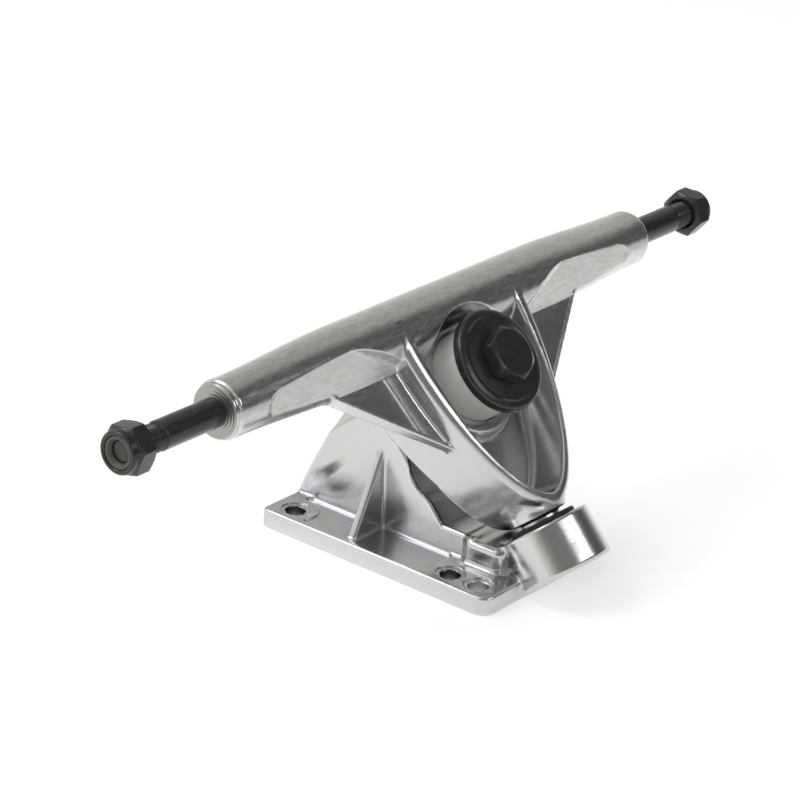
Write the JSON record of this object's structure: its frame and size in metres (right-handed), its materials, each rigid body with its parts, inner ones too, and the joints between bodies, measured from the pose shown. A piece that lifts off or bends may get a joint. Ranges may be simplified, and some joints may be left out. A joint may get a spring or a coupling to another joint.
{
  "type": "longboard truck",
  "caption": "Reverse-kingpin longboard truck: a polished cast hanger on a through axle rocks on bushings above a baseplate that bolts under the deck.",
  "frame": {"origin": "middle of the outer deck bolt pattern, on the baseplate's mounting face", "axes": "+X along the axle at rest, +Y from the pivot towards the kingpin's nut, +Z away from the deck"},
  "size_m": [0.2506, 0.095, 0.075],
  "materials": {
    "cast_aluminium": "polished casting",
    "black_steel": "semi-gloss black oxide",
    "white_urethane": "satin urethane",
    "black_rubber": "matte",
    "nylon": "matte nylon"
  },
  "bodies": {
    "baseplate": {"baseplate": "cast_aluminium", "pivot_cup": "black_rubber", "kingpin_bolt": "black_steel", "kingpin_nut": "black_steel", "kingpin_nut_insert": "nylon", "road_bushing": "white_urethane", "road_washer": "black_steel", "board_bushing": "white_urethane", "board_washer": "black_steel"},
    "hanger": {"hanger": "cast_aluminium", "axle": "black_steel"},
    "axle_nut_left": {"axle_nut_left": "black_steel", "axle_nut_insert_left": "nylon"},
    "axle_nut_right": {"axle_nut_right": "black_steel", "axle_nut_insert_right": "nylon"}
  },
  "joints": [
    {"name": "steer", "type": "hinge", "parent": "baseplate", "child": "hanger", "pos_m": [0, 0.0033, 0.0655], "axis": [0, 0.6428, 0.766], "range_deg": [-15, 15], "stiffness_Nm_per_rad": 60, "deforming": ["road_bushing", "board_bushing"]},
    {"name": "left_nut_slide", "type": "slide", "parent": "hanger", "child": "axle_nut_left", "axis": [-1, 0, 0], "range_m": [0, 0.07]},
    {"name": "right_nut_slide", "type": "slide", "parent": "hanger", "child": "axle_nut_right", "axis": [1, 0, 0], "range_m": [0, 0.07]}
  ]
}
